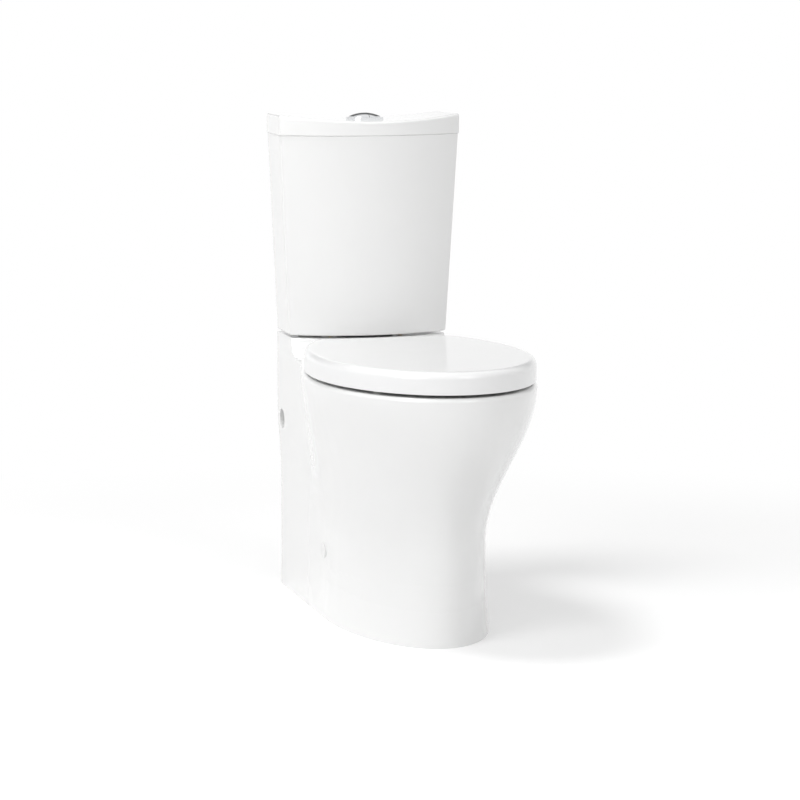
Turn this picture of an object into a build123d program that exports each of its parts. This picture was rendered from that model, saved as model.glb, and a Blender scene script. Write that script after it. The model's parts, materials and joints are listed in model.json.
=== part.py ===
# Close coupled toilet: skirted bowl, bolted-on tank, hinged seat and lid, two-button flush.
# Millimetres. +Z is up, -Y faces the user, the origin is on the floor midway in width and depth.
# A reach is a distance in front of the plane of the wall behind the toilet.
import os
from math import asin, cos, degrees, pi, sqrt

from build123d import *

os.makedirs("parts", exist_ok=True)

# Bowl outside
overall_depth = 705
rim_height = 416
rim_width = 360
rim_widest_reach = 429
waist_height = 145
waist_width = 250
waist_reach = 581
waist_widest_reach = 306
flare_height = 110
base_flare = 5
toe_flare = 10
base_width = 261
deck_width = 272
skirt_bend_low = 210
skirt_bend_high = 310
flank_top_reach = 165
flank_waist_reach = 205
flank_sag = 160
flank_lead_in = 0.1
flank_lead_out = 0.45
rim_edge_radius = 7
bowl_wall = 12
bowl_stations = 9

# Deck and tank platform
deck_thickness = 20
platform_height = 447
platform_thickness = 36
cove_radius = 27
platform_edge_radius = 5

# Well, rim channel, trapway and water passage
well_width = 244
well_length = 364
well_reach = 472
rim_lip = 22
channel_height = 22
channel_depth = 13
well_wall = 11
sump_height = 143
sump_width = 52
sump_length = 60
sump_reach = 424
well_stations = 5
well_belly = 0.62
trap_bore_radius = 27
trap_wall = 10
trap_bend_radius = 45
trap_joint_reach = 243
trap_joint_height = 340
trap_split_height = 200
trap_front_reach = 345
trap_front_height = 140
trap_inlet_height = 170
trap_rise_reach = 372
weir_height = 275
weir_reach = 262
downleg_reach = 170
trap_heel_height = 150
trap_toe_height = 110
outlet_reach = 292
outlet_height = 18
horn_radius = 50
horn_thickness = 6
passage_width = 76
passage_height = 18
passage_wall = 10

# Openings through the skirt
rear_opening_width = 190
rear_opening_low = 60
rear_opening_high = 385
rear_opening_radius = 25
port_radius = 17
port_reach = 33
port_height = 298

# Tank
tank_gap = 4
tank_top = 792
tank_top_rear_width = 305
tank_top_front_width = 314
tank_top_side_depth = 117
tank_top_bow = 51
tank_foot_rear_width = 273
tank_foot_front_width = 278
tank_foot_side_depth = 104
tank_foot_bow = 41
tank_wall = 10
tank_floor = 14
tank_corner_radius = 7
tank_foot_radius = 4
seam_radius = 1.5

# Tank lid
tank_lid_height = 34
tank_lid_overhang = 1.5
tank_lid_wall = 9
tank_lid_dish = 10
tank_lid_edge_radius = 4
lip_depth = 8
lip_thickness = 4
lip_clearance = 2.5

# Seat and seat lid
lid_width = 357
lid_front_reach = 702
lid_rear_reach = 206
lid_widest_reach = 429
lid_rear_axis = 300
lid_bottom = 421
lid_top = 456
lid_wall = 6
lid_edge_radius = 12
lid_corner_radius = 16
seat_inset = 8.5
seat_bottom = 424
seat_thickness = 20
seat_rear_reach = 237
seat_edge_radius = 8
seat_hole_width = 212
seat_hole_length = 344
seat_hole_reach = 470
bumper_radius = 8
seat_bumper_places = [(112, 590), (146, 385)]
lid_bumper_places = [(116, 575), (140, 420)]

# Seat hinges
hinge_spacing = 140
hinge_reach = 222
hinge_height = 436
hinge_pin_radius = 3.5
knuckle_radius = 7
knuckle_width = 12
knuckle_gap = 1
hinge_foot_radius = 13
hinge_foot_thickness = 3
lid_rear_cut_height = 434
lid_rear_cut_reach = 232
seat_bolt_radius = 4.5
seat_bolt_length = 46
seat_washer_radius = 11
seat_washer_thickness = 5
seat_nut_radius = 10
seat_nut_thickness = 12

# Flush valve, on one upright axis with the buttons
valve_reach = 82
valve_shank_radius = 29.5
valve_bore_radius = 25
valve_shank_length = 36
valve_flange_radius = 46
valve_flange_thickness = 6
valve_washer_thickness = 3
valve_nut_radius = 40
valve_nut_thickness = 12
seat_lip_height = 6
hub_radius = 19
hub_height = 22
spoke_width = 4
overflow_radius = 15
overflow_wall = 2
overflow_top = 650
canister_radius = 34
canister_height = 104
canister_wall = 3
seal_thickness = 6
seal_width = 11
seal_radius = 33
tower_post_radius = 4
tower_post_offset = 41
tower_top = 700
tower_bar_thickness = 6
tower_bar_width = 20
gasket_radius = 48
gasket_recess = 26

# Rocker levers and what they lift
lever_pivot_offset = 24
lever_pivot_height = 14
lever_pin_radius = 2
lever_thickness = 6
lever_width = 8
lever_pad_overhang = 5
lever_tail = 22
ear_thickness = 3.5
ear_length = 10
hook_gap = 0.8
hook_thickness = 5
strap_thickness = 4
strap_gap = 2
half_float_radius = 12
half_float_height = 40
half_float_drop = 160
half_float_rod_radius = 2.5

# Buttons
button_radius = 27
button_crown = 6
button_height = 11.5
button_skirt = 6.5
button_split = 2
button_split_gap = 0.8
stem_offset = 9.5
stem_radius = 6
stem_length = 25
bezel_radius = 32
bezel_lip = 4
bezel_wall = 1.7
bezel_depth = 10
bezel_floor = 3
barrel_radius = 20
barrel_bore_radius = 17.5
barrel_length = 44
button_nut_radius = 37
button_nut_thickness = 10
spring_wire = 1.1
push_rod_radius = 3

# Fill valve
fill_offset = 96
fill_reach = 76
shank_radius = 12.5
shank_length = 66
inlet_radius = 11.1
inlet_length = 24
fill_flange_radius = 20
fill_flange_thickness = 6
fill_washer_thickness = 3
fill_nut_radius = 20
fill_nut_thickness = 12
riser_radius = 12
fill_bore_radius = 6
head_radius = 19
head_low = 645
head_height = 27
fill_cap_radius = 20
fill_cap_height = 12
float_radius = 30
float_height = 60
float_wall = 2.5
float_low = 560
float_rod_radius = 2
float_rod_offset = 26
fill_lever_pivot_offset = 8
fill_lever_pivot_height = 6
fill_lever_pin_radius = 1.5
fill_lever_length = 42
refill_radius = 4.2
refill_bore_radius = 2.6
refill_bend_radius = 25
refill_top = 689
refill_low = 656
nozzle_side = 22
nozzle_back = 14
refill_end_side = -4
refill_end_back = 6

# Tank bolts and floor fixing
tank_bolt_offset = 62
tank_bolt_radius = 4
tank_bolt_head_radius = 9
tank_bolt_head_height = 6
tank_bolt_length = 88
tank_bolt_washer_radius = 11
tank_bolt_washer_thickness = 3
tank_nut_radius = 9
tank_nut_thickness = 14
fixing_height = 112
fixing_screw_radius = 3
fixing_screw_length = 26
fixing_head_radius = 6
fixing_head_height = 4
fixing_web = 5
cap_radius = 12.5
cap_thickness = 3
cap_recess = 1
cap_plug_radius = 7.7
cap_plug_length = 1.8
bracket_thickness = 6
bracket_width = 208
bracket_length = 120
bracket_lug_thickness = 11
bracket_lug_length = 36
bracket_lug_height = 130
bracket_side_gap = 2
closet_bolt_spacing = 152.4
closet_bolt_hole_radius = 4.5

# Clearances
running = 0.06
fixed = 0.05
slip = 0.5
hole_clearance = 1.5
touch_gap = 0.6
overcut = 5

# Heights and places that follow from the sizes above
wall_plane = overall_depth / 2
tank_foot = platform_height + tank_gap
tank_floor_top = tank_foot + tank_floor
platform_under = platform_height - platform_thickness
deck_under = rim_height - deck_thickness
seat_top = seat_bottom + seat_thickness
hinge_offset = hinge_spacing / 2
lid_inner_top = lid_top - lid_wall
lid_crown = tank_top + tank_lid_height
lid_middle = lid_crown - tank_lid_dish
stand = (Align.CENTER, Align.CENTER, Align.MIN)


def from_wall(reach):
    return wall_plane - reach


def keep(piece, name):
    piece.part.label = name
    export_step(piece.part, f"parts/{name}.step")


def ramp(value, low, high):
    share = min(max((value - low) / (high - low), 0), 1)
    return (1 - cos(pi * share)) / 2


def between(low, high, share):
    return low + (high - low) * share


def both_sides(offset, reach):
    return [(offset, from_wall(reach)), (-offset, from_wall(reach))]


def both_ends(side, start, width):
    return sorted((side * start, side * (start + width)))


def ring(centres, outer, inner, low, high, mode=Mode.ADD):
    with BuildSketch(Plane.XY.offset(low)) as section:
        with Locations(*centres):
            Circle(outer)
        if inner:
            with Locations(*centres):
                Circle(inner, mode=Mode.SUBTRACT)
    extrude(section.sketch, amount=high - low, mode=mode)


def hexagon(centres, outer, inner, low, high):
    with BuildSketch(Plane.XY.offset(low)) as section:
        with Locations(*centres):
            RegularPolygon(outer, 6)
        with Locations(*centres):
            Circle(inner, mode=Mode.SUBTRACT)
    extrude(section.sketch, amount=high - low)


def block(low, high, mode=Mode.ADD):
    middle = [(a + b) / 2 for a, b in zip(low, high)]
    size = [b - a for a, b in zip(low, high)]
    with Locations(tuple(middle)):
        Box(*size, mode=mode)


def slice_between(low, high, mode):
    block((-rim_width, -overall_depth, low), (rim_width, overall_depth, high), mode)


def cross_rod(start, radius, length, mode=Mode.ADD):
    with Locations(Location(start, (0, 90, 0))):
        Cylinder(radius, length, mode=mode)


def depth_rod(start, radius, length, mode=Mode.ADD):
    with Locations(Location(start, (90, 0, 0))):
        Cylinder(radius, length, mode=mode)


# Bowl


def bowl_outline(height, inset):
    bulge = ramp(height, waist_height, rim_height)
    flare = max(1 - height / flare_height, 0) ** 2
    half_width = between(waist_width / 2, rim_width / 2, bulge) + base_flare * flare - inset
    front = between(waist_reach, overall_depth, bulge) + toe_flare * flare - inset
    widest = between(waist_widest_reach, rim_widest_reach, bulge)
    skirt = between(base_width / 2, deck_width / 2, ramp(height, skirt_bend_low, skirt_bend_high)) - inset
    flank = between(flank_waist_reach, flank_top_reach, bulge) + flank_sag * bulge * (1 - bulge)
    lead_in = flank + flank_lead_in * (widest - flank)
    lead_out = widest - flank_lead_out * (widest - flank)
    with BuildSketch(Plane.XY.offset(height)) as outline:
        with BuildLine():
            Line((skirt, from_wall(inset)), (skirt, from_wall(flank)))
            Bezier(
                (skirt, from_wall(flank)),
                (skirt, from_wall(lead_in)),
                (half_width, from_wall(lead_out)),
                (half_width, from_wall(widest)),
            )
            EllipticalCenterArc((0, from_wall(widest)), half_width, front - widest, 270, arc_size=90)
            mirror(about=Plane.YZ)
            Line((-skirt, from_wall(inset)), (skirt, from_wall(inset)))
        make_face()
    return outline.sketch


def bowl_body(low, high, inset):
    heights = [between(low, high, step / (bowl_stations - 1)) for step in range(bowl_stations)]
    loft([bowl_outline(height, inset) for height in heights])


def well_outline(height, width, length, reach, extra):
    with BuildSketch(Plane.XY.offset(height)) as outline:
        with Locations((0, from_wall(reach))):
            Ellipse(width / 2 + extra, length / 2 + extra)
    return outline.sketch


channel_top = rim_height - rim_lip
channel_bottom = channel_top - channel_height


def well_body(extra):
    sections = []
    for step in range(well_stations):
        share = step / (well_stations - 1)
        spread = share**well_belly
        sections.append(
            well_outline(
                between(sump_height - extra, channel_bottom, share),
                between(sump_width, well_width, spread),
                between(sump_length, well_length, spread),
                between(sump_reach, well_reach, spread),
                extra,
            )
        )
    loft(sections)


def rim_channel(extra):
    channel = well_outline(
        channel_bottom - extra, well_width, well_length, well_reach, channel_depth + extra
    )
    extrude(channel, amount=channel_height + 2 * extra)


def trap_body(radius, low):
    with BuildLine() as route:
        FilletPolyline(
            (0, from_wall(sump_reach), trap_inlet_height),
            (0, from_wall(trap_rise_reach), trap_inlet_height),
            (0, from_wall(weir_reach), weir_height),
            (0, from_wall(downleg_reach), weir_height),
            (0, from_wall(downleg_reach), trap_heel_height),
            (0, from_wall(outlet_reach), trap_toe_height),
            (0, from_wall(outlet_reach), low),
            radius=trap_bend_radius,
        )
    with BuildSketch(Plane(route.line @ 0, z_dir=route.line % 0)) as section:
        Circle(radius)
    sweep(section.sketch, path=route.line)


def water_passage(extra):
    low = deck_under - extra - passage_height
    ring([(0, from_wall(valve_reach))], passage_width / 2 + extra, 0, low, platform_height - gasket_recess)
    block(
        (-passage_width / 2 - extra, from_wall(well_reach - (well_length + channel_depth) / 2), low),
        (passage_width / 2 + extra, from_wall(valve_reach), low + passage_height + 2 * extra),
    )


with BuildPart() as well:
    well_body(0)
    rim_channel(0)
    mouth = well_outline(channel_bottom, well_width, well_length, well_reach, 0)
    extrude(mouth, amount=rim_height - channel_bottom + overcut)

with BuildPart() as well_shell:
    well_body(well_wall)
    rim_channel(well_wall)

with BuildPart() as trap_shell:
    trap_body(trap_bore_radius + trap_wall, outlet_height)
    ring([(0, from_wall(outlet_reach))], horn_radius, 0, outlet_height, outlet_height + horn_thickness)

with BuildPart() as trap_bore:
    trap_body(trap_bore_radius, outlet_height)

with BuildPart() as passage:
    water_passage(0)

with BuildPart() as passage_shell:
    water_passage(passage_wall)

with BuildPart() as hollow:
    block(
        (-deck_width / 2 + bowl_wall, from_wall(tank_foot_side_depth), deck_under),
        (deck_width / 2 - bowl_wall, from_wall(bowl_wall), platform_under),
    )
    add(passage_shell.part, mode=Mode.SUBTRACT)
    bowl_body(0, deck_under, bowl_wall)

bow_radius = ((tank_foot_front_width / 2) ** 2 + tank_foot_bow**2) / (2 * tank_foot_bow)
bow_centre = from_wall(tank_foot_side_depth + tank_foot_bow - bow_radius)

with BuildPart() as platform:
    with BuildSketch(Plane.XZ.offset(-bow_centre)) as profile:
        with BuildLine():
            Line((0, deck_under), (0, platform_height))
            Line((0, platform_height), (bow_radius - platform_edge_radius, platform_height))
            RadiusArc(
                (bow_radius - platform_edge_radius, platform_height),
                (bow_radius, platform_height - platform_edge_radius),
                platform_edge_radius,
            )
            Line((bow_radius, platform_height - platform_edge_radius), (bow_radius, rim_height + cove_radius))
            RadiusArc(
                (bow_radius, rim_height + cove_radius),
                (bow_radius + cove_radius, rim_height),
                -cove_radius,
            )
            Line((bow_radius + cove_radius, rim_height), (bow_radius + cove_radius, deck_under))
            Line((bow_radius + cove_radius, deck_under), (0, deck_under))
        make_face()
    revolve(axis=Axis((0, bow_centre, 0), (0, 0, 1)))
    block(
        (-deck_width / 2, from_wall(rim_widest_reach), deck_under),
        (deck_width / 2, wall_plane, platform_height),
        mode=Mode.INTERSECT,
    )

cap_seat = waist_width / 2 - cap_recess
fixing_inner = waist_width / 2 - bowl_wall
screw_seat = fixing_inner + fixing_web
outlet_y = from_wall(outlet_reach)
bolt_places = both_sides(tank_bolt_offset, valve_reach)
hinge_places = both_sides(hinge_offset, hinge_reach)
valve_place = [(0, from_wall(valve_reach))]
fill_place = [(-fill_offset, from_wall(fill_reach))]
fill_hole_radius = fill_nut_radius + hole_clearance + fixed

with BuildPart() as bowl:
    bowl_body(0, rim_height, 0)
    rim_edges = bowl.faces().sort_by(Axis.Z)[-1].edges()
    fillet(rim_edges.sort_by(Axis.Y)[:-1], radius=rim_edge_radius)
    add(platform.part)
    add(hollow.part, mode=Mode.SUBTRACT)
    add(well.part, mode=Mode.SUBTRACT)
    add(passage.part, mode=Mode.SUBTRACT)
    # Seat of the tank gasket, tank bolt holes, fill valve hole and seat bolt holes
    above = platform_height + overcut
    ring(valve_place, gasket_radius + slip, 0, platform_height - gasket_recess, above, Mode.SUBTRACT)
    ring(bolt_places, tank_bolt_radius + hole_clearance, 0, platform_under - overcut, above, Mode.SUBTRACT)
    ring(fill_place, fill_hole_radius, 0, platform_under - overcut, above, Mode.SUBTRACT)
    ring(hinge_places, seat_bolt_radius + hole_clearance, 0, deck_under - overcut, above, Mode.SUBTRACT)
    # Opening in the back of the skirt
    with BuildSketch(Plane.XZ.offset(-wall_plane - overcut)):
        with Locations((0, (rear_opening_low + rear_opening_high) / 2)):
            RectangleRounded(rear_opening_width, rear_opening_high - rear_opening_low, rear_opening_radius)
    extrude(amount=bowl_wall + 2 * overcut, mode=Mode.SUBTRACT)
    # Hose ports, and the stepped holes of the side fixing screws with flat seats for their caps
    cross_rod((0, from_wall(port_reach), port_height), port_radius, deck_width + overcut, Mode.SUBTRACT)
    for side in (1, -1):
        outside = (side * (cap_seat + overcut), outlet_y, fixing_height)
        cross_rod(outside, cap_radius + slip, 2 * overcut, Mode.SUBTRACT)
        pocket = (side * (cap_seat + screw_seat) / 2, outlet_y, fixing_height)
        cross_rod(pocket, cap_plug_radius + fixed, cap_seat - screw_seat, Mode.SUBTRACT)
        web = (side * fixing_inner, outlet_y, fixing_height)
        cross_rod(web, fixing_screw_radius + slip, 4 * fixing_web, Mode.SUBTRACT)

# Rim channel with its water passage, basin with the trapway's rising leg, and the trapway from its weir

with BuildPart() as inner_casting:
    add(well_shell.part)
    add(trap_shell.part)
    add(passage_shell.part)
    add(well.part, mode=Mode.SUBTRACT)
    add(trap_bore.part, mode=Mode.SUBTRACT)
    add(passage.part, mode=Mode.SUBTRACT)
    slice_between(deck_under, platform_height, Mode.SUBTRACT)

with BuildPart() as behind_weir:
    with BuildSketch(Plane.YZ.offset(-rim_width / 2)):
        with BuildLine():
            Polyline(
                (wall_plane, 0),
                (from_wall(trap_front_reach), 0),
                (from_wall(trap_front_reach), trap_front_height),
                (from_wall(trap_joint_reach), trap_split_height),
                (from_wall(trap_joint_reach), trap_joint_height),
                (wall_plane, trap_joint_height),
                close=True,
            )
        make_face()
    extrude(amount=rim_width)

rim_joint = channel_bottom - well_wall

with BuildPart() as rim_channel_piece:
    add(inner_casting.part)
    slice_between(rim_joint, platform_height, Mode.INTERSECT)

with BuildPart() as basin:
    add(inner_casting.part)
    slice_between(0, rim_joint, Mode.INTERSECT)
    add(behind_weir.part, mode=Mode.SUBTRACT)

with BuildPart() as trapway:
    add(inner_casting.part)
    add(behind_weir.part, mode=Mode.INTERSECT)

# Tank and its lid


def tank_outline(height, inset):
    share = (height - tank_foot) / (tank_top - tank_foot)
    rear_half = between(tank_foot_rear_width, tank_top_rear_width, share) / 2 - inset
    front_half = between(tank_foot_front_width, tank_top_front_width, share) / 2 - inset
    rear = from_wall(max(inset, 0))
    front = from_wall(between(tank_foot_side_depth, tank_top_side_depth, share) - inset)
    bow = between(tank_foot_bow, tank_top_bow, share)
    with BuildSketch(Plane.XY.offset(height)) as outline:
        with BuildLine():
            Line((rear_half, rear), (front_half, front))
            mirror(about=Plane.YZ)
            Line((-rear_half, rear), (rear_half, rear))
            ThreePointArc((-front_half, front), (0, front - bow), (front_half, front))
        make_face()
        fillet(outline.vertices(), radius=tank_corner_radius)
    return outline.sketch


with BuildPart() as tank:
    loft([tank_outline(tank_foot, 0), tank_outline(tank_top, 0)])
    fillet(tank.faces().sort_by(Axis.Z)[0].edges(), radius=tank_foot_radius)
    fillet(tank.faces().sort_by(Axis.Z)[-1].edges(), radius=seam_radius)
    water_space = [tank_outline(tank_floor_top, tank_wall), tank_outline(tank_top + overcut, tank_wall)]
    loft(water_space, mode=Mode.SUBTRACT)
    valve_hole = (valve_place, valve_shank_radius)
    bolt_holes = (bolt_places, tank_bolt_radius)
    fill_hole = (fill_place, shank_radius)
    for places, radius in (valve_hole, bolt_holes, fill_hole):
        ring(places, radius + hole_clearance, 0, tank_foot - overcut, tank_floor_top + overcut, Mode.SUBTRACT)


tank_lid_half = tank_top_front_width / 2 + tank_lid_overhang
dish_radius = (tank_lid_half**2 + tank_lid_dish**2) / (2 * tank_lid_dish)


def dish(bottom):
    depth_rod((0, 0, bottom + dish_radius), dish_radius, overall_depth, Mode.SUBTRACT)


lip_outside = tank_wall + lip_clearance
lip_inside = lip_outside + lip_thickness

with BuildPart() as tank_lid_hollow:
    extrude(tank_outline(tank_top, lip_inside), amount=tank_lid_height)
    dish(lid_middle - tank_lid_wall)

with BuildPart() as tank_lid:
    extrude(tank_outline(tank_top, -tank_lid_overhang), amount=tank_lid_height + overcut)
    dish(lid_middle)
    fillet(tank_lid.edges().group_by(Axis.Z)[0], radius=seam_radius)
    top_face = tank_lid.faces().filter_by(GeomType.CYLINDER).sort_by(SortBy.AREA)[-1]
    fillet(top_face.edges(), radius=tank_lid_edge_radius)
    add(tank_lid_hollow.part, mode=Mode.SUBTRACT)
    extrude(tank_outline(tank_top, lip_outside), amount=-lip_depth)
    extrude(tank_outline(tank_top, lip_inside), amount=-lip_depth, mode=Mode.SUBTRACT)
    ring(valve_place, bezel_radius + slip, 0, lid_middle, lid_crown, Mode.SUBTRACT)
    ring(valve_place, button_radius + bezel_wall + 2 * slip, 0, tank_top, lid_crown, Mode.SUBTRACT)

# Seat and seat lid


def seat_outline(height, inset, rear_reach):
    half_width = lid_width / 2 - inset
    rear_depth = lid_rear_axis - inset
    front_depth = lid_front_reach - lid_widest_reach - inset
    rise = (lid_widest_reach - rear_reach) / rear_depth
    corner = half_width * sqrt(1 - rise**2)
    middle = (0, from_wall(lid_widest_reach))
    with BuildSketch(Plane.XY.offset(height)) as outline:
        with BuildLine():
            EllipticalCenterArc(middle, half_width, front_depth, 270, arc_size=90)
            EllipticalCenterArc(middle, half_width, rear_depth, 0, arc_size=degrees(asin(rise)))
            mirror(about=Plane.YZ)
            Line((-corner, from_wall(rear_reach)), (corner, from_wall(rear_reach)))
        make_face()
        fillet(outline.vertices().group_by(Axis.Y)[-1], radius=lid_corner_radius)
    return outline.sketch


def hinge_knuckle(side, start):
    middle = (side * (start + knuckle_width / 2), from_wall(hinge_reach), hinge_height)
    cross_rod(middle, knuckle_radius, knuckle_width)


def hinge_bore(clearance):
    for side in (1, -1):
        middle = (side * hinge_offset, from_wall(hinge_reach), hinge_height)
        cross_rod(middle, hinge_pin_radius + clearance, 4 * knuckle_width, Mode.SUBTRACT)


post_inner = hinge_offset - knuckle_width / 2
seat_knuckle_start = hinge_offset + knuckle_width / 2 + knuckle_gap
lid_knuckle_start = post_inner - knuckle_gap - knuckle_width

with BuildPart() as seat_ring:
    extrude(seat_outline(seat_bottom, seat_inset, seat_rear_reach), amount=seat_thickness)
    with BuildSketch(Plane.XY.offset(seat_bottom)):
        with Locations((0, from_wall(seat_hole_reach))):
            Ellipse(seat_hole_width / 2, seat_hole_length / 2)
    extrude(amount=seat_thickness, mode=Mode.SUBTRACT)
    fillet(seat_ring.faces().sort_by(Axis.Z)[-1].edges(), radius=seat_edge_radius)
    for side in (1, -1):
        hinge_knuckle(side, seat_knuckle_start)
        inner, outer = both_ends(side, seat_knuckle_start, knuckle_width)
        block(
            (inner, from_wall(seat_rear_reach + seat_edge_radius), hinge_height - knuckle_radius),
            (outer, from_wall(hinge_reach), hinge_height + knuckle_radius - seat_edge_radius / 2),
        )
    hinge_bore(running)

with BuildPart() as seat_lid:
    extrude(seat_outline(lid_bottom, 0, lid_rear_reach), amount=lid_top - lid_bottom)
    fillet(seat_lid.faces().sort_by(Axis.Z)[-1].edges(), radius=lid_edge_radius)
    extrude(
        seat_outline(lid_bottom, lid_wall, lid_rear_reach + lid_wall),
        amount=lid_inner_top - lid_bottom,
        mode=Mode.SUBTRACT,
    )
    block(
        (-lid_width / 2, from_wall(lid_rear_cut_reach), lid_bottom),
        (lid_width / 2, from_wall(lid_rear_reach), lid_rear_cut_height),
        mode=Mode.SUBTRACT,
    )
    for side in (1, -1):
        # Notch in the rear skirt that clears the post when the lid stands up
        notch_width = knuckle_width + 2 * hole_clearance
        notch_low, notch_high = both_ends(side, post_inner - hole_clearance, notch_width)
        block(
            (notch_low, from_wall(hinge_reach), lid_bottom),
            (notch_high, from_wall(lid_rear_reach), lid_inner_top),
            mode=Mode.SUBTRACT,
        )
        hinge_knuckle(side, lid_knuckle_start)
        inner, outer = both_ends(side, lid_knuckle_start, knuckle_width)
        block(
            (inner, from_wall(hinge_reach + knuckle_radius), hinge_height),
            (outer, from_wall(hinge_reach - knuckle_radius), lid_inner_top),
        )
    hinge_bore(running)

with BuildPart() as seat_bumpers:
    for offset, reach in seat_bumper_places:
        ring(both_sides(offset, reach), bumper_radius, 0, rim_height, seat_bottom)

with BuildPart() as lid_bumpers:
    for offset, reach in lid_bumper_places:
        ring(both_sides(offset, reach), bumper_radius, 0, seat_top, lid_inner_top)

with BuildPart() as hinge_posts:
    ring(hinge_places, hinge_foot_radius, 0, rim_height, rim_height + hinge_foot_thickness)
    for side in (1, -1):
        hinge_knuckle(side, post_inner)
        inner, outer = both_ends(side, post_inner, knuckle_width)
        block(
            (inner, from_wall(hinge_reach + knuckle_radius), rim_height),
            (outer, from_wall(hinge_reach - knuckle_radius), hinge_height),
        )
    hinge_bore(fixed)

with BuildPart() as hinge_pins:
    for side in (1, -1):
        middle = (side * hinge_offset, from_wall(hinge_reach), hinge_height)
        cross_rod(middle, hinge_pin_radius, 3 * knuckle_width)

with BuildPart() as seat_bolts:
    ring(hinge_places, seat_bolt_radius, 0, rim_height - seat_bolt_length, rim_height)

washer_low = deck_under - seat_washer_thickness

with BuildPart() as seat_washers:
    ring(hinge_places, seat_washer_radius, seat_bolt_radius + fixed, washer_low, deck_under)

with BuildPart() as seat_nuts:
    seat_nut_low = washer_low - seat_nut_thickness
    hexagon(hinge_places, seat_nut_radius, seat_bolt_radius + fixed, seat_nut_low, washer_low)

# Flush valve
flange_low = tank_floor_top + valve_washer_thickness
flange_top = flange_low + valve_flange_thickness
seal_low = flange_top + seat_lip_height
canister_low = seal_low + seal_thickness
canister_top = canister_low + canister_height
shank_low = flange_low - valve_shank_length
bar_top = tower_top + tower_bar_thickness
pivot_height = bar_top + lever_pivot_height
lever_top = pivot_height + lever_thickness / 2
lever_end = lever_pivot_offset + lever_tail
hook_low = lever_top + hook_gap
hook_top = hook_low + hook_thickness
strap_inner = lever_end + strap_gap
half_rod_offset = strap_inner + strap_thickness
valve_y = from_wall(valve_reach)
half_rod_place = [(half_rod_offset, valve_y)]
ear_inner = lever_width / 2 + slip
ear_outer = ear_inner + ear_thickness

with BuildPart() as flush_valve_body:
    ring(valve_place, valve_flange_radius, valve_bore_radius, flange_low, flange_top)
    ring(valve_place, valve_shank_radius, valve_bore_radius, shank_low, seal_low)
    # Spider that holds the overflow tube in the bore
    hub_low = flange_top - hub_height
    ring(valve_place, hub_radius, overflow_radius + fixed, hub_low, flange_top)
    for turn in (0, 120, 240):
        with Locations(Location((0, valve_y, hub_low), (0, 0, turn))):
            with Locations(((hub_radius + valve_bore_radius) / 2, 0, 0)):
                Box(valve_bore_radius - hub_radius + 2 * slip, spoke_width, hub_height, align=stand)
    # Tower with its cross bars, lever ears and float guide
    posts = [(0, valve_y + tower_post_offset), (0, valve_y - tower_post_offset)]
    ring(posts, tower_post_radius, 0, flange_top, tower_top)
    post_edge = tower_post_offset + tower_post_radius + slip
    block(
        (-tower_bar_width / 2, valve_y - post_edge, tower_top),
        (tower_bar_width / 2, valve_y + post_edge, bar_top),
    )
    block(
        (-lever_pivot_offset - ear_length / 2, valve_y - tower_bar_width / 2, tower_top),
        (half_rod_offset + half_float_rod_radius + strap_thickness, valve_y + tower_bar_width / 2, bar_top),
    )
    guide_radius = half_float_rod_radius + slip
    ring(half_rod_place, guide_radius, 0, tower_top - overcut, bar_top + overcut, Mode.SUBTRACT)
    for side in (1, -1):
        for edge in (1, -1):
            x_low, x_high = both_ends(side, lever_pivot_offset - ear_length / 2, ear_length)
            y_low, y_high = both_ends(edge, ear_inner, ear_thickness)
            ear_top = pivot_height + ear_length / 2
            block((x_low, valve_y + y_low, bar_top), (x_high, valve_y + y_high, ear_top))
        pivot = (side * lever_pivot_offset, valve_y, pivot_height)
        depth_rod(pivot, lever_pin_radius + fixed, 4 * ear_outer, Mode.SUBTRACT)

with BuildPart() as lever_pins:
    for side in (1, -1):
        depth_rod((side * lever_pivot_offset, valve_y, pivot_height), lever_pin_radius, 2 * ear_outer)


def rocker(side):
    pad_end = stem_offset - lever_pad_overhang
    x_low, x_high = both_ends(side, pad_end, lever_end - pad_end)
    block(
        (x_low, valve_y - lever_width / 2, pivot_height - lever_thickness / 2),
        (x_high, valve_y + lever_width / 2, lever_top),
    )
    pivot = (side * lever_pivot_offset, valve_y, pivot_height)
    depth_rod(pivot, lever_pin_radius + running, 2 * lever_width, Mode.SUBTRACT)


def hook(side):
    hook_end = lever_end - lever_width / 2
    x_low, x_high = both_ends(side, hook_end, strap_inner + strap_thickness - hook_end)
    block((x_low, valve_y - lever_width / 2, hook_low), (x_high, valve_y + lever_width / 2, hook_top))


with BuildPart() as full_flush_lever:
    rocker(-1)

with BuildPart() as half_flush_lever:
    rocker(1)

with BuildPart() as flush_valve_washer:
    ring(valve_place, valve_flange_radius, valve_shank_radius + fixed, tank_floor_top, flange_low)

with BuildPart() as flush_valve_nut:
    valve_nut_low = tank_foot - valve_nut_thickness
    hexagon(valve_place, valve_nut_radius, valve_shank_radius + fixed, valve_nut_low, tank_foot)

with BuildPart() as tank_gasket:
    ring(valve_place, gasket_radius, valve_nut_radius + slip, platform_height - gasket_recess, tank_foot)

with BuildPart() as overflow_tube:
    ring(valve_place, overflow_radius, overflow_radius - overflow_wall, flange_top - hub_height, overflow_top)

with BuildPart() as canister_seal:
    ring(valve_place, seal_radius, seal_radius - seal_width, seal_low, canister_low)

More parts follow.
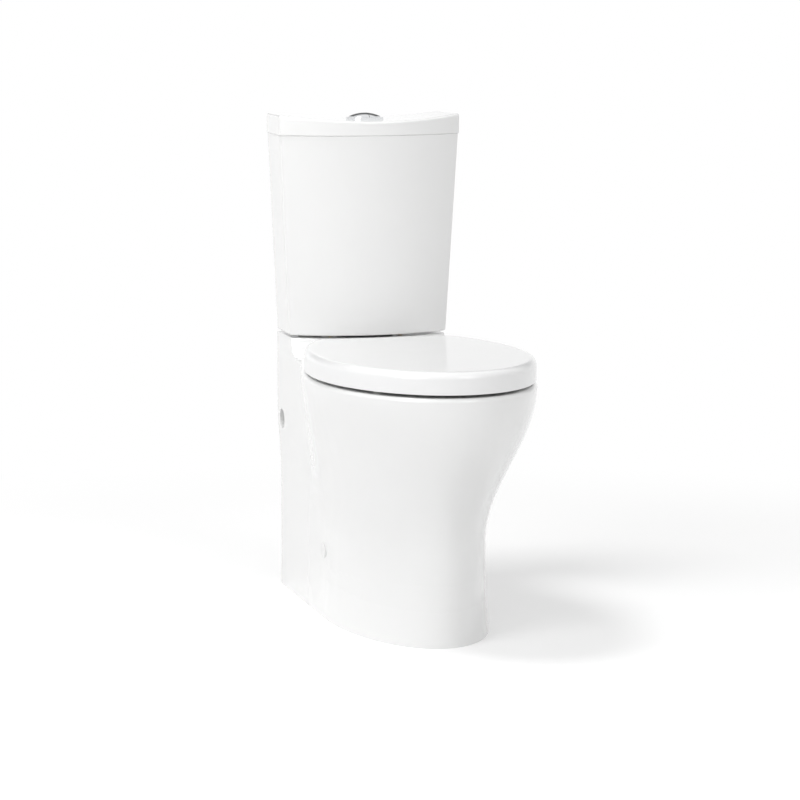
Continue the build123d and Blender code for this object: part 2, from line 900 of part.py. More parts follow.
with BuildPart() as flush_canister:
    sleeve = overflow_radius + slip
    ring(valve_place, canister_radius, sleeve, canister_low, canister_top)
    trough = canister_low + canister_wall
    trough_radius = canister_radius - canister_wall
    ring(valve_place, trough_radius, sleeve + canister_wall, trough, canister_top + overcut, Mode.SUBTRACT)
    block(
        (-strap_inner - strap_thickness, valve_y - lever_width / 2, canister_top - strap_thickness),
        (-canister_radius + canister_wall, valve_y + lever_width / 2, canister_top),
    )
    block(
        (-strap_inner - strap_thickness, valve_y - lever_width / 2, canister_top - strap_thickness),
        (-strap_inner, valve_y + lever_width / 2, hook_top),
    )
    hook(-1)

with BuildPart() as half_flush_float:
    float_top = hook_low - half_float_drop
    ring(half_rod_place, half_float_radius, 0, float_top - half_float_height, float_top)
    ring(half_rod_place, half_float_rod_radius, 0, float_top, hook_top)
    hook(1)

# Buttons in the tank lid
bezel_bottom = lid_middle - bezel_depth
cup_bore = button_radius + slip
cup_radius = cup_bore + bezel_wall
barrel_low = bezel_bottom - barrel_length
spring_low = barrel_low + bezel_floor
button_low = lid_middle + button_height - button_crown - button_skirt
stem_low = button_low - stem_length
stem_places = {-1: [(-stem_offset, valve_y)], 1: [(stem_offset, valve_y)]}

with BuildPart() as button_bezel:
    ring(valve_place, bezel_radius, cup_bore, lid_middle, lid_middle + bezel_lip)
    ring(valve_place, cup_radius, cup_bore, bezel_bottom, lid_middle)
    ring(valve_place, cup_radius, barrel_bore_radius, bezel_bottom, bezel_bottom + bezel_floor)
    ring(valve_place, barrel_radius, barrel_bore_radius, barrel_low, bezel_bottom)
    ring(valve_place, barrel_radius, 0, barrel_low, spring_low)
    rod_places = stem_places[1] + stem_places[-1]
    ring(rod_places, push_rod_radius + slip, 0, barrel_low - overcut, spring_low + overcut, Mode.SUBTRACT)

with BuildPart() as button_nut:
    lid_under = lid_middle - tank_lid_wall
    button_nut_low = lid_under - button_nut_thickness
    hexagon(valve_place, button_nut_radius, barrel_radius + fixed, button_nut_low, lid_under)
    ring(valve_place, cup_radius + fixed, 0, bezel_bottom, lid_under + overcut, Mode.SUBTRACT)

crown_radius = (button_radius**2 + button_crown**2) / (2 * button_crown)
crown_top = button_low + button_skirt + button_crown


def flush_button(side):
    ring(valve_place, button_radius, 0, button_low, crown_top)
    with Locations((0, valve_y, crown_top - crown_radius)):
        Sphere(crown_radius, mode=Mode.INTERSECT)
    cut_low, cut_high = sorted((button_split + side * button_split_gap / 2, -side * 2 * button_radius))
    block(
        (cut_low, valve_y - button_radius, button_low),
        (cut_high, valve_y + button_radius, crown_top),
        mode=Mode.SUBTRACT,
    )
    ring(stem_places[side], stem_radius, 0, stem_low, button_low)


with BuildPart() as full_flush_button:
    flush_button(-1)

with BuildPart() as half_flush_button:
    flush_button(1)

with BuildPart() as full_push_rod:
    ring(stem_places[-1], push_rod_radius, 0, lever_top + touch_gap, stem_low)

with BuildPart() as half_push_rod:
    ring(stem_places[1], push_rod_radius, 0, lever_top + touch_gap, stem_low)

spring_bore = stem_radius + slip

with BuildPart() as full_button_spring:
    ring(stem_places[-1], spring_bore + spring_wire, spring_bore, spring_low, button_low)

with BuildPart() as half_button_spring:
    ring(stem_places[1], spring_bore + spring_wire, spring_bore, spring_low, button_low)

# Fill valve
fill_x, fill_y = fill_place[0]
inlet_low = tank_foot - shank_length
fill_flange_low = tank_floor_top + fill_washer_thickness
fill_flange_top = fill_flange_low + fill_flange_thickness
head_top = head_low + head_height
fill_cap_top = head_top + fill_cap_height
fill_pivot_y = fill_y + fill_lever_pivot_offset
fill_pivot_height = fill_cap_top + fill_lever_pivot_height
fill_pivot = (fill_x, fill_pivot_y, fill_pivot_height)
float_rod_y = fill_y - float_rod_offset
nozzle = (fill_x + nozzle_side, fill_y + nozzle_back)

with BuildPart() as fill_valve_body:
    ring(fill_place, inlet_radius, 0, inlet_low, inlet_low + inlet_length)
    ring(fill_place, shank_radius, 0, inlet_low + inlet_length, fill_flange_low)
    ring(fill_place, fill_flange_radius, 0, fill_flange_low, fill_flange_top)
    ring(fill_place, riser_radius, 0, fill_flange_top, head_low)
    ring(fill_place, head_radius, 0, head_low, head_top)
    ring([nozzle], refill_radius, 0, head_low, refill_low)
    ring([nozzle], refill_bore_radius - fixed, 0, refill_low, refill_low + 2 * refill_radius)
    block((fill_x, nozzle[1] - refill_radius, head_low), (nozzle[0], nozzle[1] + refill_radius, refill_low))
    ring(fill_place, fill_bore_radius, 0, inlet_low, head_low, Mode.SUBTRACT)

with BuildPart() as fill_valve_cap:
    ring(fill_place, fill_cap_radius, 0, head_top, fill_cap_top)
    for edge in (1, -1):
        ear_low, ear_high = both_ends(edge, ear_inner, ear_thickness)
        block(
            (fill_x + ear_low, fill_pivot_y - ear_length / 2, fill_cap_top),
            (fill_x + ear_high, fill_pivot_y + ear_length / 2, fill_pivot_height + ear_length / 2),
        )
    cross_rod(fill_pivot, fill_lever_pin_radius + fixed, 4 * ear_outer, Mode.SUBTRACT)

with BuildPart() as fill_lever_pin:
    cross_rod(fill_pivot, fill_lever_pin_radius, 2 * ear_outer)

with BuildPart() as fill_lever:
    half_thickness = lever_thickness / 2
    block(
        (fill_x - lever_width / 2, fill_pivot_y - fill_lever_length, fill_pivot_height - half_thickness),
        (fill_x + lever_width / 2, fill_pivot_y + half_thickness, fill_pivot_height + half_thickness),
    )
    cross_rod(fill_pivot, fill_lever_pin_radius + running, 2 * lever_width, Mode.SUBTRACT)

with BuildPart() as fill_float:
    float_top = float_low + float_height
    ring(fill_place, float_radius, riser_radius + slip, float_low, float_top)
    cup_inner = riser_radius + slip + float_wall
    ring(fill_place, float_radius - float_wall, cup_inner, float_low, float_top - float_wall, Mode.SUBTRACT)
    rod_top = fill_pivot_height - lever_thickness / 2 - touch_gap
    ring([(fill_x, float_rod_y)], float_rod_radius, 0, float_top, rod_top)

with BuildPart() as fill_valve_washer:
    ring(fill_place, fill_flange_radius, shank_radius + fixed, tank_floor_top, fill_flange_low)

with BuildPart() as fill_valve_nut:
    hexagon(fill_place, fill_nut_radius, shank_radius + fixed, tank_foot - fill_nut_thickness, tank_foot)

with BuildPart() as refill_tube:
    with BuildLine() as refill_route:
        FilletPolyline(
            (*nozzle, refill_low),
            (*nozzle, refill_top),
            (refill_end_side, valve_y + refill_end_back, refill_top),
            (refill_end_side, valve_y + refill_end_back, overflow_top - refill_radius),
            radius=refill_bend_radius,
        )
    with BuildSketch(Plane(refill_route.line @ 0, z_dir=refill_route.line % 0)):
        Circle(refill_radius)
        Circle(refill_bore_radius, mode=Mode.SUBTRACT)
    sweep(path=refill_route.line)

# Tank bolts
bolt_head_low = tank_floor_top + tank_bolt_washer_thickness

with BuildPart() as tank_bolts:
    ring(bolt_places, tank_bolt_head_radius, 0, bolt_head_low, bolt_head_low + tank_bolt_head_height)
    ring(bolt_places, tank_bolt_radius, 0, bolt_head_low - tank_bolt_length, bolt_head_low)

with BuildPart() as tank_bolt_washers:
    ring(bolt_places, tank_bolt_washer_radius, tank_bolt_radius + fixed, tank_floor_top, bolt_head_low)

with BuildPart() as tank_bolt_nuts:
    tank_nut_low = platform_under - tank_nut_thickness
    hexagon(bolt_places, tank_nut_radius, tank_bolt_radius + fixed, tank_nut_low, platform_under)

# Floor fixing
with BuildPart() as bolt_caps:
    for side in (1, -1):
        disc = (side * (cap_seat + cap_thickness / 2), outlet_y, fixing_height)
        cross_rod(disc, cap_radius, cap_thickness)
        plug = (side * (cap_seat - cap_plug_length / 2), outlet_y, fixing_height)
        cross_rod(plug, cap_plug_radius, cap_plug_length)

with BuildPart() as side_screws:
    for side in (1, -1):
        head = (side * (screw_seat + fixing_head_height / 2), outlet_y, fixing_height)
        cross_rod(head, fixing_head_radius, fixing_head_height)
        shaft = (side * (screw_seat - fixing_screw_length / 2), outlet_y, fixing_height)
        cross_rod(shaft, fixing_screw_radius, fixing_screw_length)

lug_outer = fixing_inner - bracket_side_gap
lug_inner = lug_outer - bracket_lug_thickness
plate_front = outlet_y - bracket_length / 2
plate_rear = outlet_y + bracket_length / 2
lug_front = outlet_y - bracket_lug_length / 2
lug_rear = outlet_y + bracket_lug_length / 2
plate_bottom = -overcut
plate_over = bracket_thickness + overcut

with BuildPart() as floor_bracket:
    block((-bracket_width / 2, plate_front, 0), (bracket_width / 2, plate_rear, bracket_thickness))
    block((lug_inner, lug_front, 0), (lug_outer, lug_rear, bracket_lug_height))
    block((-lug_outer, lug_front, 0), (-lug_inner, lug_rear, bracket_lug_height))
    cross_rod((0, outlet_y, fixing_height), fixing_screw_radius + fixed, 2 * lug_outer, Mode.SUBTRACT)
    ring([(0, outlet_y)], horn_radius, 0, plate_bottom, plate_over, Mode.SUBTRACT)
    closet_bolts = both_sides(closet_bolt_spacing / 2, outlet_reach)
    ring(closet_bolts, closet_bolt_hole_radius, 0, plate_bottom, plate_over, Mode.SUBTRACT)

with BuildPart() as outlet_seal:
    ring([(0, outlet_y)], horn_radius - slip, trap_bore_radius + hole_clearance, 0, outlet_height)

pieces = dict(
    bowl=bowl, rim_channel=rim_channel_piece, basin=basin, trapway=trapway,
    tank=tank, tank_lid=tank_lid, seat_ring=seat_ring, seat_lid=seat_lid,
    seat_bumpers=seat_bumpers, lid_bumpers=lid_bumpers, hinge_posts=hinge_posts, hinge_pins=hinge_pins,
    seat_bolts=seat_bolts, seat_washers=seat_washers, seat_nuts=seat_nuts,
    flush_valve_body=flush_valve_body, flush_valve_washer=flush_valve_washer,
    flush_valve_nut=flush_valve_nut, tank_gasket=tank_gasket, overflow_tube=overflow_tube,
    flush_canister=flush_canister, canister_seal=canister_seal, lever_pins=lever_pins,
    full_flush_lever=full_flush_lever, half_flush_lever=half_flush_lever,
    half_flush_float=half_flush_float, button_bezel=button_bezel, button_nut=button_nut,
    full_flush_button=full_flush_button, half_flush_button=half_flush_button,
    full_push_rod=full_push_rod, half_push_rod=half_push_rod,
    full_button_spring=full_button_spring, half_button_spring=half_button_spring,
    fill_valve_body=fill_valve_body, fill_valve_cap=fill_valve_cap, fill_lever=fill_lever,
    fill_lever_pin=fill_lever_pin, fill_float=fill_float, fill_valve_washer=fill_valve_washer,
    fill_valve_nut=fill_valve_nut, refill_tube=refill_tube, tank_bolts=tank_bolts,
    tank_bolt_washers=tank_bolt_washers, tank_bolt_nuts=tank_bolt_nuts, bolt_caps=bolt_caps,
    side_screws=side_screws, floor_bracket=floor_bracket, outlet_seal=outlet_seal,
)
for name, piece in pieces.items():
    keep(piece, name)
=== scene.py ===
import json
import math

import bmesh
import bpy
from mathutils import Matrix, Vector
from mathutils.bvhtree import BVHTree


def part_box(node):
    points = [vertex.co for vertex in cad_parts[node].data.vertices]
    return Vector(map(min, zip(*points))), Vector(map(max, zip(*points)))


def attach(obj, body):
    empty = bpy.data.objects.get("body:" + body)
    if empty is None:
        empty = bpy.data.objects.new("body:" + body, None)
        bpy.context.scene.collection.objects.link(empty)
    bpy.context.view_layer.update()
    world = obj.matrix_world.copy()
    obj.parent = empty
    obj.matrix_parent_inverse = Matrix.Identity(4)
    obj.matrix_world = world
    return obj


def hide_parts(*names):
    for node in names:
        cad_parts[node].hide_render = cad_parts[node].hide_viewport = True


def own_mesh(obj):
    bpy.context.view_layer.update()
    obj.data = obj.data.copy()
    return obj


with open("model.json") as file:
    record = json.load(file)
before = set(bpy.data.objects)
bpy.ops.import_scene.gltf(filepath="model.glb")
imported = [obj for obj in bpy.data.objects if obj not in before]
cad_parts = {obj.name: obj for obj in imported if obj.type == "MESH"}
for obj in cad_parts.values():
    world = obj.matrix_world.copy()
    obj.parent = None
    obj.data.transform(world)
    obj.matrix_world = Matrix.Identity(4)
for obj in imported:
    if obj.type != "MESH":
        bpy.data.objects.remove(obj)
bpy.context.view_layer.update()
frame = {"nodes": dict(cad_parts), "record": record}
scene = bpy.context.scene
bodyOf = {node: body for body, nodes in frame["record"]["behaviour"]["bodies"].items() for node in nodes}
slotOf = {part["node"]: part["material_slot"] for part in frame["record"]["subparts"]}
mm = 0.001
print("frame loaded:", len(frame["nodes"]), "nodes")


class Wire:  # a socket that takes part in sums
    def __init__(self, tree, socket):
        self.tree = tree
        self.socket = socket

    def sum(self, operation, first, second):
        node = self.tree.nodes.new("ShaderNodeMath")
        node.operation = operation
        for slot, value in zip(node.inputs, (first, second)):
            if isinstance(value, Wire):
                self.tree.links.new(value.socket, slot)
            else:
                slot.default_value = value
        return Wire(self.tree, node.outputs[0])

    def __add__(self, other):
        return self.sum("ADD", self, other)

    def __radd__(self, other):
        return self.sum("ADD", other, self)

    def __sub__(self, other):
        return self.sum("SUBTRACT", self, other)

    def __rsub__(self, other):
        return self.sum("SUBTRACT", other, self)

    def __mul__(self, other):
        return self.sum("MULTIPLY", self, other)

    def __rmul__(self, other):
        return self.sum("MULTIPLY", other, self)


def addNode(tree, kind, settings=None, **values):
    node = tree.nodes.new(kind)
    for name, value in (settings or {}).items():
        if name == "stops":
            for element, (place, color) in zip(node.color_ramp.elements, value):
                element.position = place
                element.color = color
        else:
            setattr(node, name, value)
    for name, value in values.items():
        numbered = name[0] == "n" and name[1:].isdigit()
        slot = node.inputs[int(name[1:]) if numbered else name.replace("_", " ")]
        if isinstance(value, Wire):
            tree.links.new(value.socket, slot)
        else:
            slot.default_value = value
    return node


def out(tree, node, name=0):
    return Wire(tree, node.outputs[name])


def startMaterial(name):
    material = bpy.data.materials.new(name)
    material.use_nodes = True
    tree = material.node_tree
    tree.nodes.clear()
    output = tree.nodes.new("ShaderNodeOutputMaterial")
    shader = tree.nodes.new("ShaderNodeBsdfPrincipled")
    tree.links.new(shader.outputs[0], output.inputs[0])
    place = out(tree, addNode(tree, "ShaderNodeTexCoord"), "Object")
    return material, tree, shader, place


def link(tree, wire, shader, name):
    tree.links.new(wire.socket, shader.inputs[name])


def noise(tree, place, scale, detail=3.0, stretch=(1, 1, 1)):
    spot = out(tree, addNode(tree, "ShaderNodeMapping", Vector=place, Scale=stretch))
    return out(tree, addNode(tree, "ShaderNodeTexNoise", Vector=spot, Scale=scale, Detail=detail), 0)


def tinted(tree, mask, low, high):
    mix = addNode(tree, "ShaderNodeMix", {"data_type": "RGBA"})
    tree.links.new(mask.socket, mix.inputs[0])
    mix.inputs[6].default_value = (*low, 1)
    mix.inputs[7].default_value = (*high, 1)
    return Wire(tree, mix.outputs[2])


def bumped(tree, height, strength, depth):
    return out(tree, addNode(tree, "ShaderNodeBump", Height=height, Strength=strength, Distance=depth))


finishWay = {
    "cloudDetail": 4.0, "grainDetail": 2.0, "grainShare": 0.5, "bumpStrength": 0.35, "coatRoughness": 0.03,
}


def finish(name, low, high, roughness, spread, metallic=0.0, coat=0.0, grain=400, grainDepth=0.00002,
           cloud=9, stretch=(1, 1, 1)):
    material, tree, shader, place = startMaterial(name)
    mask = noise(tree, place, cloud, finishWay["cloudDetail"])
    fine = noise(tree, place, grain, finishWay["grainDetail"], stretch)
    link(tree, tinted(tree, mask, low, high), shader, "Base Color")
    uneven = spread * (mask - 0.5)
    grainy = finishWay["grainShare"] * spread * (fine - 0.5)
    link(tree, roughness + uneven + grainy, shader, "Roughness")
    link(tree, bumped(tree, fine, finishWay["bumpStrength"], grainDepth), shader, "Normal")
    shader.inputs["Metallic"].default_value = metallic
    shader.inputs["Coat Weight"].default_value = coat
    shader.inputs["Coat Roughness"].default_value = finishWay["coatRoughness"]
    return material


finishes = {
    "ceramic": finish("glazedCeramic", (0.86, 0.862, 0.86), (0.885, 0.885, 0.88), 0.13, 0.05,
                      coat=0.6, grain=170, grainDepth=0.00001, cloud=5),
    "seat_plastic": finish("seatPlastic", (0.865, 0.867, 0.868), (0.885, 0.886, 0.886), 0.17, 0.05,
                           coat=0.25, grain=260, grainDepth=0.00003, cloud=7),
    "cap_plastic": finish("capPlastic", (0.82, 0.822, 0.82), (0.85, 0.85, 0.848), 0.24, 0.06, grain=900),
    "bumper_rubber": finish("bumperRubber", (0.66, 0.66, 0.64), (0.72, 0.72, 0.70), 0.62, 0.12, grain=1500),
    "seal_rubber": finish("sealRubber", (0.022, 0.022, 0.022), (0.04, 0.04, 0.04), 0.66, 0.16, grain=1300),
    "hinge_metal": finish("hingeChrome", (0.74, 0.75, 0.77), (0.80, 0.81, 0.82), 0.13, 0.08,
                          metallic=1.0, grain=700),
    "chrome": finish("buttonChrome", (0.74, 0.75, 0.765), (0.79, 0.80, 0.81), 0.12, 0.07,
                     metallic=1.0, grain=600),
    "bolt_steel": finish("boltSteel", (0.52, 0.53, 0.55), (0.64, 0.645, 0.66), 0.30, 0.14, metallic=1.0,
                         grain=900, stretch=(1, 1, 0.08)),
    "bolt_brass": finish("boltBrass", (0.66, 0.49, 0.20), (0.76, 0.59, 0.28), 0.28, 0.14,
                         metallic=1.0, grain=800),
    "nut_plastic": finish("nutPlastic", (0.76, 0.76, 0.74), (0.82, 0.82, 0.80), 0.42, 0.1, grain=1100),
    "valve_plastic": finish("valvePlastic", (0.72, 0.735, 0.73), (0.79, 0.80, 0.795), 0.40, 0.1, grain=1000),
    "lever_plastic": finish("leverPlastic", (0.045, 0.13, 0.32), (0.06, 0.17, 0.38), 0.38, 0.1, grain=1000),
    "float_plastic": finish("floatPlastic", (0.60, 0.63, 0.64), (0.67, 0.70, 0.70), 0.36, 0.1, grain=900),
    "tube_plastic": finish("tubePlastic", (0.74, 0.76, 0.75), (0.80, 0.81, 0.80), 0.30, 0.08, grain=900),
    "bracket_plastic": finish("bracketPlastic", (0.045, 0.046, 0.05), (0.065, 0.067, 0.07), 0.55, 0.15,
                              grain=700),
}
print("finishes made:", len(finishes))


def addPiece(name, mesh, node, stands=()):
    piece = bpy.data.objects.new(name, mesh)
    scene.collection.objects.link(piece)
    used = slotOf[node]
    mesh.materials.clear()
    mesh.materials.append(finishes[used])
    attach(piece, bodyOf[node])
    if stands:
        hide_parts(*stands)
    return piece


bowlSkin = {
    "depth": 705 * mm, "rimHeight": 416 * mm, "rimWidth": 360 * mm, "rimWidest": 429 * mm,
    "waistHeight": 145 * mm, "waistWidth": 250 * mm, "waistReach": 581 * mm, "waistWidest": 306 * mm,
    "flareHeight": 110 * mm, "baseFlare": 5 * mm, "toeFlare": 10 * mm,
    "baseWidth": 261 * mm, "deckWidth": 272 * mm, "bendLow": 210 * mm, "bendHigh": 310 * mm,
    "flankTop": 165 * mm, "flankWaist": 205 * mm, "flankSag": 160 * mm, "leadIn": 0.1, "leadOut": 0.45,
    "low": 0.0, "high": 409 * mm, "proud": 0.3 * mm, "edgeProud": 0.03 * mm, "edgeSteps": 2, "fade": 12 * mm,
    "rows": 180, "sideSteps": 110, "frontSteps": 44,
    "near": 8 * mm, "facing": 0.3, "overlap": 16 * mm, "seam": 12 * mm,
}


def easeRamp(value, low, high):
    share = min(max((value - low) / (high - low), 0), 1)
    return (1 - math.cos(math.pi * share)) / 2


def bowlRow(height):  # half of the outline at one height, from the flat side to the toe
    b = bowlSkin
    bulge = easeRamp(height, b["waistHeight"], b["rimHeight"])
    flare = max(1 - height / b["flareHeight"], 0) ** 2
    halfWidth = (b["waistWidth"] + (b["rimWidth"] - b["waistWidth"]) * bulge) / 2 + b["baseFlare"] * flare
    front = b["waistReach"] + (b["depth"] - b["waistReach"]) * bulge + b["toeFlare"] * flare
    widest = b["waistWidest"] + (b["rimWidest"] - b["waistWidest"]) * bulge
    bend = easeRamp(height, b["bendLow"], b["bendHigh"])
    skirt = (b["baseWidth"] + (b["deckWidth"] - b["baseWidth"]) * bend) / 2
    flank = b["flankWaist"] + (b["flankTop"] - b["flankWaist"]) * bulge + b["flankSag"] * bulge * (1 - bulge)
    handles = ((skirt, flank), (skirt, flank + b["leadIn"] * (widest - flank)),
               (halfWidth, widest - b["leadOut"] * (widest - flank)), (halfWidth, widest))
    points = [Vector((skirt, flank - b["overlap"] * share)) for share in (1.0, 0.5)]
    for step in range(b["sideSteps"]):
        t = step / b["sideSteps"]
        shares = ((1 - t) ** 3, 3 * t * (1 - t) ** 2, 3 * t * t * (1 - t), t ** 3)
        points.append(sum((share * Vector(handle) for share, handle in zip(shares, handles)), Vector((0, 0))))
    for step in range(b["frontSteps"] + 1):
        angle = math.pi / 2 * step / b["frontSteps"]
        points.append(Vector((halfWidth * math.cos(angle), widest + (front - widest) * math.sin(angle))))
    return points


def pastFlat(place):  # how far a point lies in front of the flat side's edge
    flatEdge = bowlRow(min(max(place.z, bowlSkin["low"]), bowlSkin["high"]))[bowlSkin["edgeSteps"]]
    return bowlSkin["depth"] / 2 - place.y - flatEdge.y


def bowlSkinMesh():
    b = bowlSkin
    work = bmesh.new()
    rows = []
    for step in range(b["rows"]):
        height = b["low"] + (b["high"] - b["low"]) * step / (b["rows"] - 1)
        half = bowlRow(height)
        outline = half + [Vector((-point.x, point.y)) for point in reversed(half[:-1])]
        row = []
        for index, point in enumerate(outline):
            along = outline[min(index + 1, len(outline) - 1)] - outline[max(index - 1, 0)]
            outward = Vector((along.y, -along.x)).normalized()
            inward = min(index, len(outline) - 1 - index, b["edgeSteps"]) / b["edgeSteps"]
            share = min(inward, (b["high"] - height) / b["fade"])
            seat = point + (b["edgeProud"] + (b["proud"] - b["edgeProud"]) * min(share, 1)) * outward
            row.append(work.verts.new((seat.x, b["depth"] / 2 - seat.y, height)))
        rows.append(row)
    for lower, upper in zip(rows, rows[1:]):
        for index in range(len(lower) - 1):
            work.faces.new((lower[index], lower[index + 1], upper[index + 1], upper[index]))
    mesh = bpy.data.meshes.new("bowlSkin")
    work.to_mesh(mesh)
    work.free()
    return mesh


skinMesh = bowlSkinMesh()
print("bowl skin made")

smoothWay = {"mergeGap": 0.00001, "sharpAngle": math.radians(32)}


def takeSkin(work):  # the even skin takes the place of the wall's long facets
    fine = bmesh.new()
    fine.from_mesh(skinMesh)
    tree = BVHTree.FromBMesh(fine)
    covered = []
    for face in work.faces:
        middle = face.calc_center_median()
        _, normal, _, gap = tree.find_nearest(middle)
        below = middle.z < bowlSkin["high"] and gap < bowlSkin["near"]
        if below and normal.dot(face.normal) > bowlSkin["facing"]:
            if min(pastFlat(vert.co) for vert in face.verts) > -bowlSkin["seam"]:
                covered.append(face)
    bmesh.ops.delete(work, geom=covered, context="FACES")
    fine.free()
    work.from_mesh(skinMesh)
    print("wall facets replaced:", len(covered))


def smoothCopy(node):  # the node's own shape with its facets shaded round
    mesh = frame["nodes"][node].data.copy()
    mesh.name = node + "Mesh"
    work = bmesh.new()
    work.from_mesh(mesh)
    bmesh.ops.remove_doubles(work, verts=work.verts, dist=smoothWay["mergeGap"])
    if node == "bowl":
        takeSkin(work)
    for face in work.faces:
        face.smooth = True
    for edge in work.edges:
        edge.smooth = edge.is_manifold and edge.calc_face_angle(0) < smoothWay["sharpAngle"]
    work.to_mesh(mesh)
    work.free()
    piece = addPiece(node + "Smooth", mesh, node, stands=(node,))
    weights = piece.modifiers.new("weights", "WEIGHTED_NORMAL")
    weights.keep_sharp = True
    return piece


springNodes = ("full_button_spring", "half_button_spring")
for node in frame["nodes"]:
    if node not in springNodes:
        smoothCopy(node)
print("smooth pieces made")

spring = {"turns": 9, "wireRadius": 0.55 * mm, "steps": 40, "wireSides": 8, "travel": 0.005}


def springTree():
    tree = bpy.data.node_groups.new("coilSpring", "GeometryNodeTree")
    tree.interface.new_socket("Geometry", in_out="OUTPUT", socket_type="NodeSocketGeometry")
    kinds = {"turns": "Float", "radius": "Float", "height": "Float", "wire": "Float", "middle": "Vector",
             "finish": "Material"}
    for name, kind in kinds.items():
        tree.interface.new_socket(name, in_out="INPUT", socket_type="NodeSocket" + kind)
    given = tree.nodes.new("NodeGroupInput")
    coil = addNode(tree, "GeometryNodeCurveSpiral", Resolution=spring["steps"])
    feeds = {"turns": ("Rotations",), "radius": ("Start Radius", "End Radius"), "height": ("Height",)}
    for name, slots in feeds.items():
        for slot in slots:
            tree.links.new(given.outputs[name], coil.inputs[slot])
    section = addNode(tree, "GeometryNodeCurvePrimitiveCircle", Resolution=spring["wireSides"])
    tree.links.new(given.outputs["wire"], section.inputs["Radius"])
    skin = addNode(tree, "GeometryNodeCurveToMesh", Curve=out(tree, coil), Profile_Curve=out(tree, section),
                   Fill_Caps=True)
    moved = addNode(tree, "GeometryNodeTransform", Geometry=out(tree, skin))
    tree.links.new(given.outputs["middle"], moved.inputs["Translation"])
    real = addNode(tree, "GeometryNodeRealizeInstances", Geometry=out(tree, moved))
    dressed = addNode(tree, "GeometryNodeSetMaterial", Geometry=out(tree, real))
    tree.links.new(given.outputs["finish"], dressed.inputs["Material"])
    result = tree.nodes.new("NodeGroupOutput")
    tree.links.new(dressed.outputs[0], result.inputs[0])
    return tree


def treeMesh(name, tree, values):
    maker = bpy.data.objects.new(name + "Maker", bpy.data.meshes.new(name + "Maker"))
    scene.collection.objects.link(maker)
    way = maker.modifiers.new(name, "NODES")
    way.node_group = tree
    for item in tree.interface.items_tree:
        if item.in_out == "INPUT" and item.name in values:
            way[item.identifier] = values[item.name]
    graph = bpy.context.evaluated_depsgraph_get()
    mesh = bpy.data.meshes.new_from_object(maker.evaluated_get(graph))
    bpy.data.objects.remove(maker)
    mesh.name = name
    for polygon in mesh.polygons:
        polygon.use_smooth = True
    return mesh


coilTree = springTree()
for node, joint in zip(springNodes, ("full_button_press", "half_button_press")):
    low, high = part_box(node)
    wire = spring["wireRadius"]
    height = high.z - low.z - 2 * wire
    middle = Vector(((low.x + high.x) / 2, (low.y + high.y) / 2, low.z + wire))
    mesh = treeMesh(node + "Coil", coilTree, {
        "turns": float(spring["turns"]), "radius": (high.x - low.x) / 2 - wire, "height": height, "wire": wire,
        "middle": middle, "finish": finishes["bolt_steel"]})
    coil = addPiece(node + "Coil", mesh, node, stands=(node,))
    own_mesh(coil)
print("springs made")

cameraView = {
    "place": (-1.3657, -4.9136, 1.0676),
    "forward": (0.26319, 0.95511, -0.13602),
    "lens": 140.75,
    "sensor": 36.0,
    "farthest": 100,
}
camera = bpy.data.objects.new("camera", bpy.data.cameras.new("camera"))
scene.collection.objects.link(camera)
camera.data.lens = cameraView["lens"]
camera.data.sensor_width = cameraView["sensor"]
camera.data.clip_end = cameraView["farthest"]
camera.location = cameraView["place"]
camera.rotation_euler = Vector(cameraView["forward"]).to_track_quat("-Z", "Y").to_euler()
scene.camera = camera

studio = {
    "floorSize": 40.0,
    "floorBounce": 0.82,
    "floorShown": 0.98,
    "floorGlow": 0.13,
    "clearFrom": 0.75,
    "clearTo": 1.7,
    "ambient": 0.54,
    # a band of the world that only glossy rays see darker: a painted dark reflection
    "darkReflection": {"behind": (0.45, 0.8), "low": (0.08, 0.30), "high": (0.5, 0.65), "depth": 0.85},
    "key": {"place": (-4.3, -2.6, 2.2), "aim": (0, 0, 0.45), "size": 3.2, "power": 78},
    "fill": {"place": (1.6, -4.2, 3.2), "aim": (0, 0, 0.45), "size": 3.0, "power": 46},
    "top": {"place": (-1.1, 0.0, 3.3), "aim": (0, 0, 0), "size": 1.0, "power": 36},
}


def addLamp(name):
    lamp = studio[name]
    light = bpy.data.lights.new(name, "AREA")
    light.shape = "DISK"
    light.size = lamp["size"]
    light.energy = lamp["power"]
    holder = bpy.data.objects.new(name, light)
    scene.collection.objects.link(holder)
    holder.location = lamp["place"]
    holder.rotation_euler = (Vector(lamp["aim"]) - Vector(lamp["place"])).to_track_quat("-Z", "Y").to_euler()


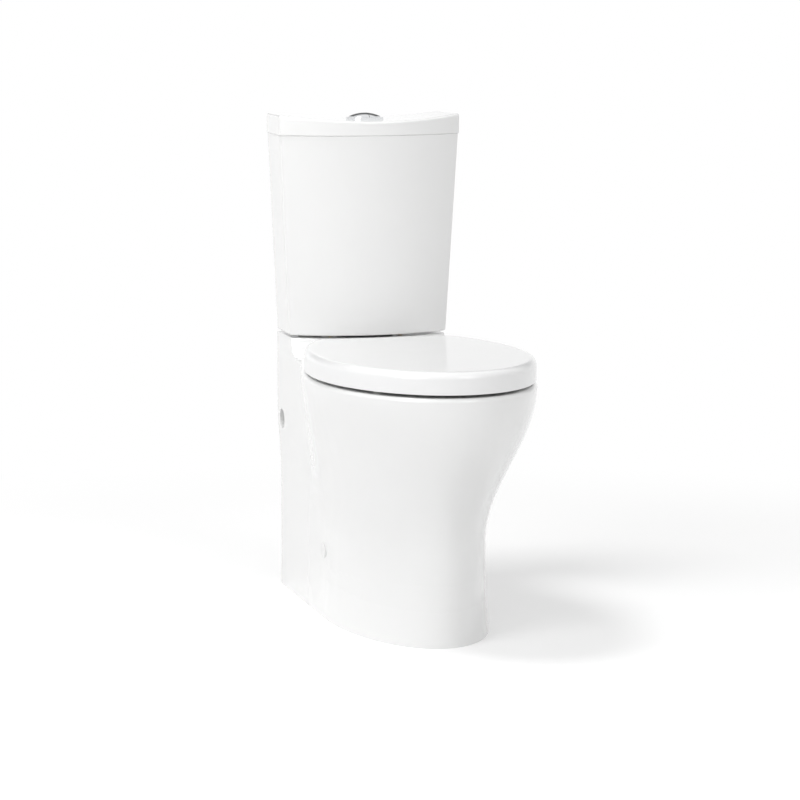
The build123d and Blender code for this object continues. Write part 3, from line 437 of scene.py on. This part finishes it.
def floorMaterial():
    material = bpy.data.materials.new("studioFloor")
    material.use_nodes = True
    tree = material.node_tree
    tree.nodes.clear()
    path = addNode(tree, "ShaderNodeLightPath")
    seen = out(tree, path, "Is Camera Ray") + out(tree, path, "Is Glossy Ray")
    pale = seen * (studio["floorShown"] - studio["floorBounce"]) + studio["floorBounce"]
    matt = addNode(tree, "ShaderNodeBsdfDiffuse", Color=pale)
    glow = addNode(tree, "ShaderNodeEmission", Strength=seen * studio["floorGlow"])
    near = addNode(tree, "ShaderNodeAddShader", n0=out(tree, matt), n1=out(tree, glow))
    place = out(tree, addNode(tree, "ShaderNodeTexCoord"), "Object")
    reach = out(tree, addNode(tree, "ShaderNodeVectorMath", {"operation": "LENGTH"}, n0=place), "Value")
    clear = out(tree, addNode(tree, "ShaderNodeMapRange", {"interpolation_type": "SMOOTHSTEP"}, Value=reach,
                              From_Min=studio["clearFrom"], From_Max=studio["clearTo"]))
    white = addNode(tree, "ShaderNodeEmission", Strength=1.0)
    both = addNode(tree, "ShaderNodeMixShader", n0=seen * clear, n1=out(tree, near), n2=out(tree, white))
    result = tree.nodes.new("ShaderNodeOutputMaterial")
    tree.links.new(both.outputs[0], result.inputs[0])
    return material


def whiteWorld():
    world = bpy.data.worlds.new("studio")
    scene.world = world
    world.use_nodes = True
    tree = world.node_tree
    tree.nodes.clear()
    path = addNode(tree, "ShaderNodeLightPath")
    glossy = out(tree, path, "Is Glossy Ray")
    seen = out(tree, path, "Is Camera Ray") + glossy + out(tree, path, "Is Transmission Ray")
    level = seen.sum("MINIMUM", seen, 1.0) * (1 - studio["ambient"]) + studio["ambient"]
    direction = out(tree, addNode(tree, "ShaderNodeTexCoord"), "Generated")
    split = addNode(tree, "ShaderNodeSeparateXYZ", Vector=direction)
    # glossy rays alone see this band of directions darker; it lights nothing, so it is a painted dark
    # reflection
    darkReflection = studio["darkReflection"]
    parts = []
    for name, start, end in (("Y", *darkReflection["behind"]), ("Z", *darkReflection["low"]), ("Z", *darkReflection["high"])):
        parts.append(out(tree, addNode(tree, "ShaderNodeMapRange", {"interpolation_type": "SMOOTHSTEP"},
                                       Value=out(tree, split, name), From_Min=start, From_Max=end)))
    shade = parts[0] * parts[1] * (1 - parts[2])
    light = addNode(tree, "ShaderNodeBackground", Color=(1, 1, 1, 1),
                    Strength=level * (1 - glossy * shade * darkReflection["depth"]))
    result = tree.nodes.new("ShaderNodeOutputWorld")
    tree.links.new(light.outputs[0], result.inputs[0])


half = studio["floorSize"] / 2
floorMesh = bpy.data.meshes.new("floor")
floorCorners = [(-half, -half, 0), (half, -half, 0), (half, half, 0), (-half, half, 0)]
floorMesh.from_pydata(floorCorners, [], [(0, 1, 2, 3)])
floorMesh.materials.append(floorMaterial())
floor = bpy.data.objects.new("floor", floorMesh)
scene.collection.objects.link(floor)
whiteWorld()
for name in ("key", "fill", "top"):
    addLamp(name)
scene.view_settings.view_transform = "Standard"
print("studio made")
